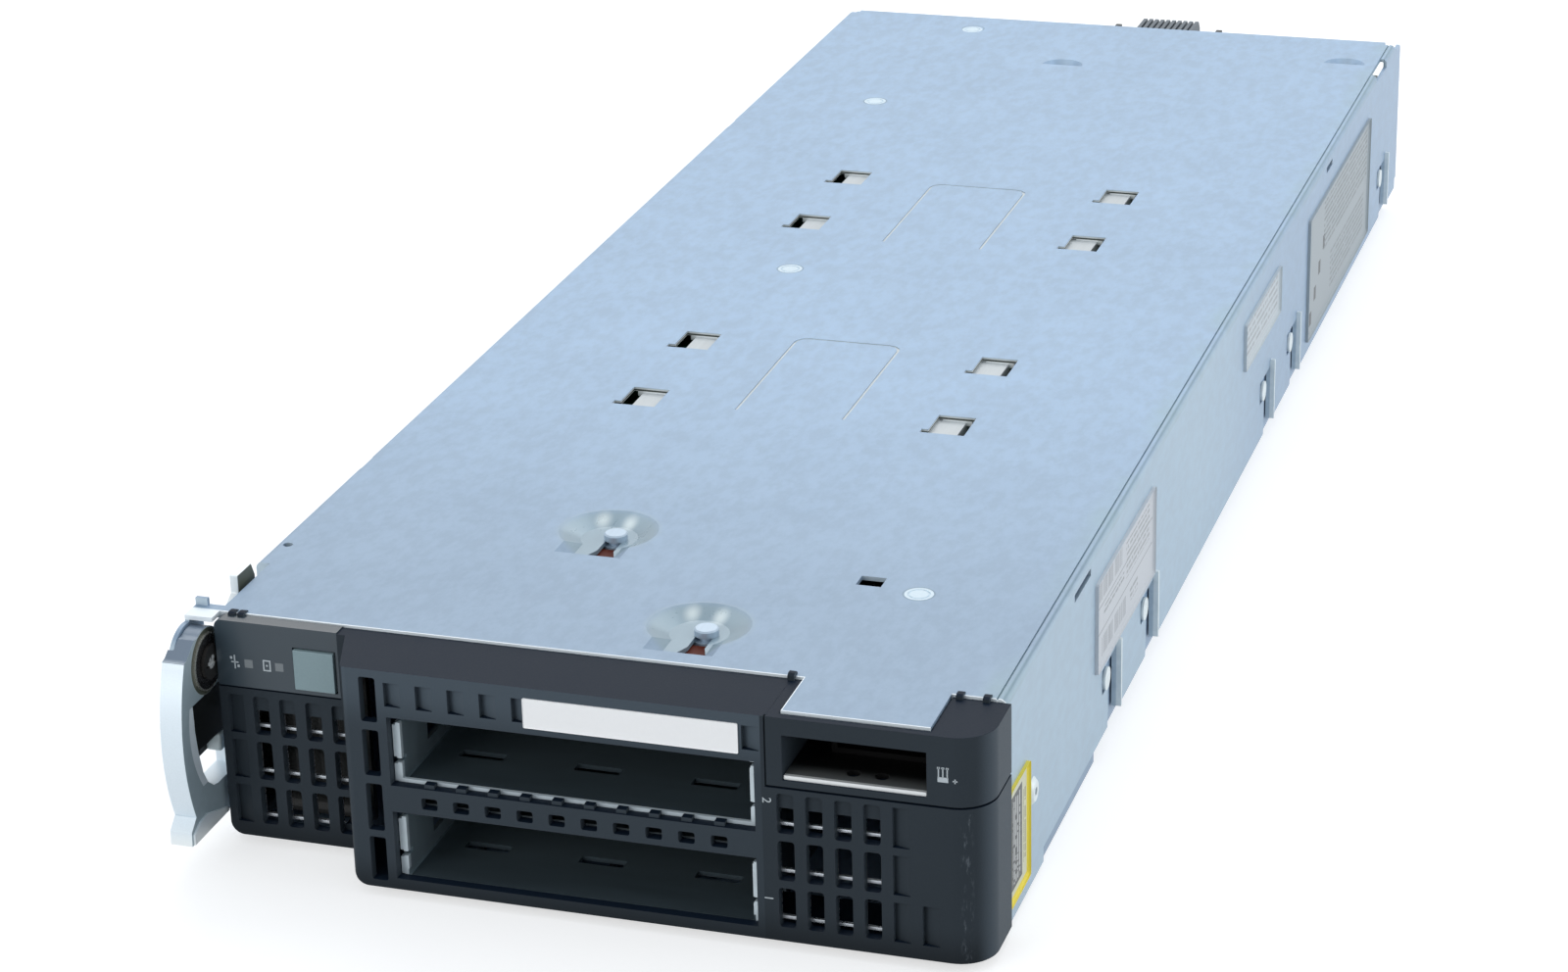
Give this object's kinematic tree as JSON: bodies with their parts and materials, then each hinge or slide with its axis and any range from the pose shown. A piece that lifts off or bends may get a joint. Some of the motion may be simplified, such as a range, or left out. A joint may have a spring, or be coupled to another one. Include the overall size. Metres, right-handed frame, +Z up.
{
  "type": "half-height blade server",
  "caption": "Sheet-metal server blade with twin drive bays, vented front bezel, pivoting release lever, sliding access panel and rear plug connectors.",
  "frame": {"origin": "centre of the flat underside, on the plane that the access panel and the front pan rest on, halfway across the side walls", "axes": "+Z up through the top sheet, +Y from the bezel to the rear connectors, +X from the release lever to the right side wall"},
  "size_m": [0.1809, 0.519, 0.0562],
  "materials": {
    "steel_sheet": "zinc-coated sheet, slightly blue, fine rolled grain",
    "panel_button_plastic": "moulded, matt",
    "bezel_plastic": "moulded, fine texture",
    "bright_steel": "bright stamped steel",
    "gloss_panel": "glossy moulded panel",
    "light_pipe": "clear moulded light pipe, unlit",
    "power_button_plastic": "moulded, satin",
    "lever_casting": "die-cast, silver-blue satin paint",
    "claw_steel": "stamped steel with bare edges",
    "latch_black": "moulded",
    "latch_silver": "satin silver",
    "insulator": "thin reddish-brown sheet",
    "rivet_steel": "flush self-clinching rivet",
    "circuit_board": "solder mask over glass laminate",
    "black_plastic": "moulded connector plastic",
    "heatsink_metal": "extruded fins",
    "processor_lid": "nickel-plated lid",
    "baffle_plastic": "clear moulded duct",
    "contact_brass": "plated copper blades"
  },
  "bodies": {
    "chassis": {"chassis_tray": "steel_sheet", "front_pan": "steel_sheet", "front_bezel": "bezel_plastic", "grille_screen": "bright_steel", "suv_bezel": "bezel_plastic", "suv_floor_plate": "bright_steel", "suv_connector": "black_plastic", "led_panel": "gloss_panel", "led_light_pipes": "light_pipe", "front_panel_board": "circuit_board", "lever_pivot_screw": "bright_steel", "lever_bracket": "steel_sheet", "drive_cage": "steel_sheet", "drive_backplane": "circuit_board", "backplane_connectors": "black_plastic", "cage_studs": "bright_steel", "cage_insulator": "insulator", "flush_rivets": "rivet_steel", "mainboard": "circuit_board", "board_standoffs": "bright_steel", "cpu_backplates": "bright_steel", "cpu_sockets": "black_plastic", "processors": "processor_lid", "heatsink_front": "heatsink_metal", "heatsink_rear": "heatsink_metal", "heatsink_screws": "bright_steel", "dimm_sockets": "black_plastic", "memory_modules_left": "circuit_board", "memory_modules_right": "circuit_board", "air_baffle_left": "baffle_plastic", "air_baffle_right": "baffle_plastic", "mezzanine_connectors": "black_plastic", "network_card": "circuit_board", "network_heatsink": "heatsink_metal", "network_connector": "black_plastic", "cache_module": "circuit_board", "coin_cell": "bright_steel", "cell_holder": "black_plastic", "chipset_heatsink": "heatsink_metal", "signal_housing": "black_plastic", "signal_wafers": "black_plastic", "power_housing": "black_plastic", "power_blades": "contact_brass", "inductors": "black_plastic", "capacitors": "black_plastic", "bezel_clips": "bezel_plastic", "usb_port": "bright_steel"},
    "access_panel": {"access_panel": "steel_sheet"},
    "panel_button": {"panel_latch_button": "panel_button_plastic"},
    "lever": {"release_lever": "lever_casting", "lever_claw": "claw_steel", "lever_washer": "claw_steel", "lever_latch_body": "latch_black"},
    "lever_button": {"lever_latch_button": "latch_silver"},
    "power_button": {"power_button": "power_button_plastic"}
  },
  "joints": [
    {"name": "panel_slide", "type": "slide", "parent": "chassis", "child": "access_panel", "axis": [0, 1, 0], "range_m": [0, 0.007]},
    {"name": "panel_button_press", "type": "slide", "parent": "access_panel", "child": "panel_button", "axis": [0, 0, 1], "range_m": [0, 0.002], "stiffness_N_per_m": 500},
    {"name": "lever_swing", "type": "hinge", "parent": "chassis", "child": "lever", "pos_m": [-0.0888, -0.2372, 0.044], "axis": [-1, 0, 0], "range_deg": [0, 45]},
    {"name": "lever_button_slide", "type": "slide", "parent": "lever", "child": "lever_button", "axis": [0, 1, 0], "range_m": [0, 0.0015], "stiffness_N_per_m": 300},
    {"name": "power_button_press", "type": "slide", "parent": "chassis", "child": "power_button", "axis": [0, 1, 0], "range_m": [0, 0.001], "stiffness_N_per_m": 600}
  ]
}
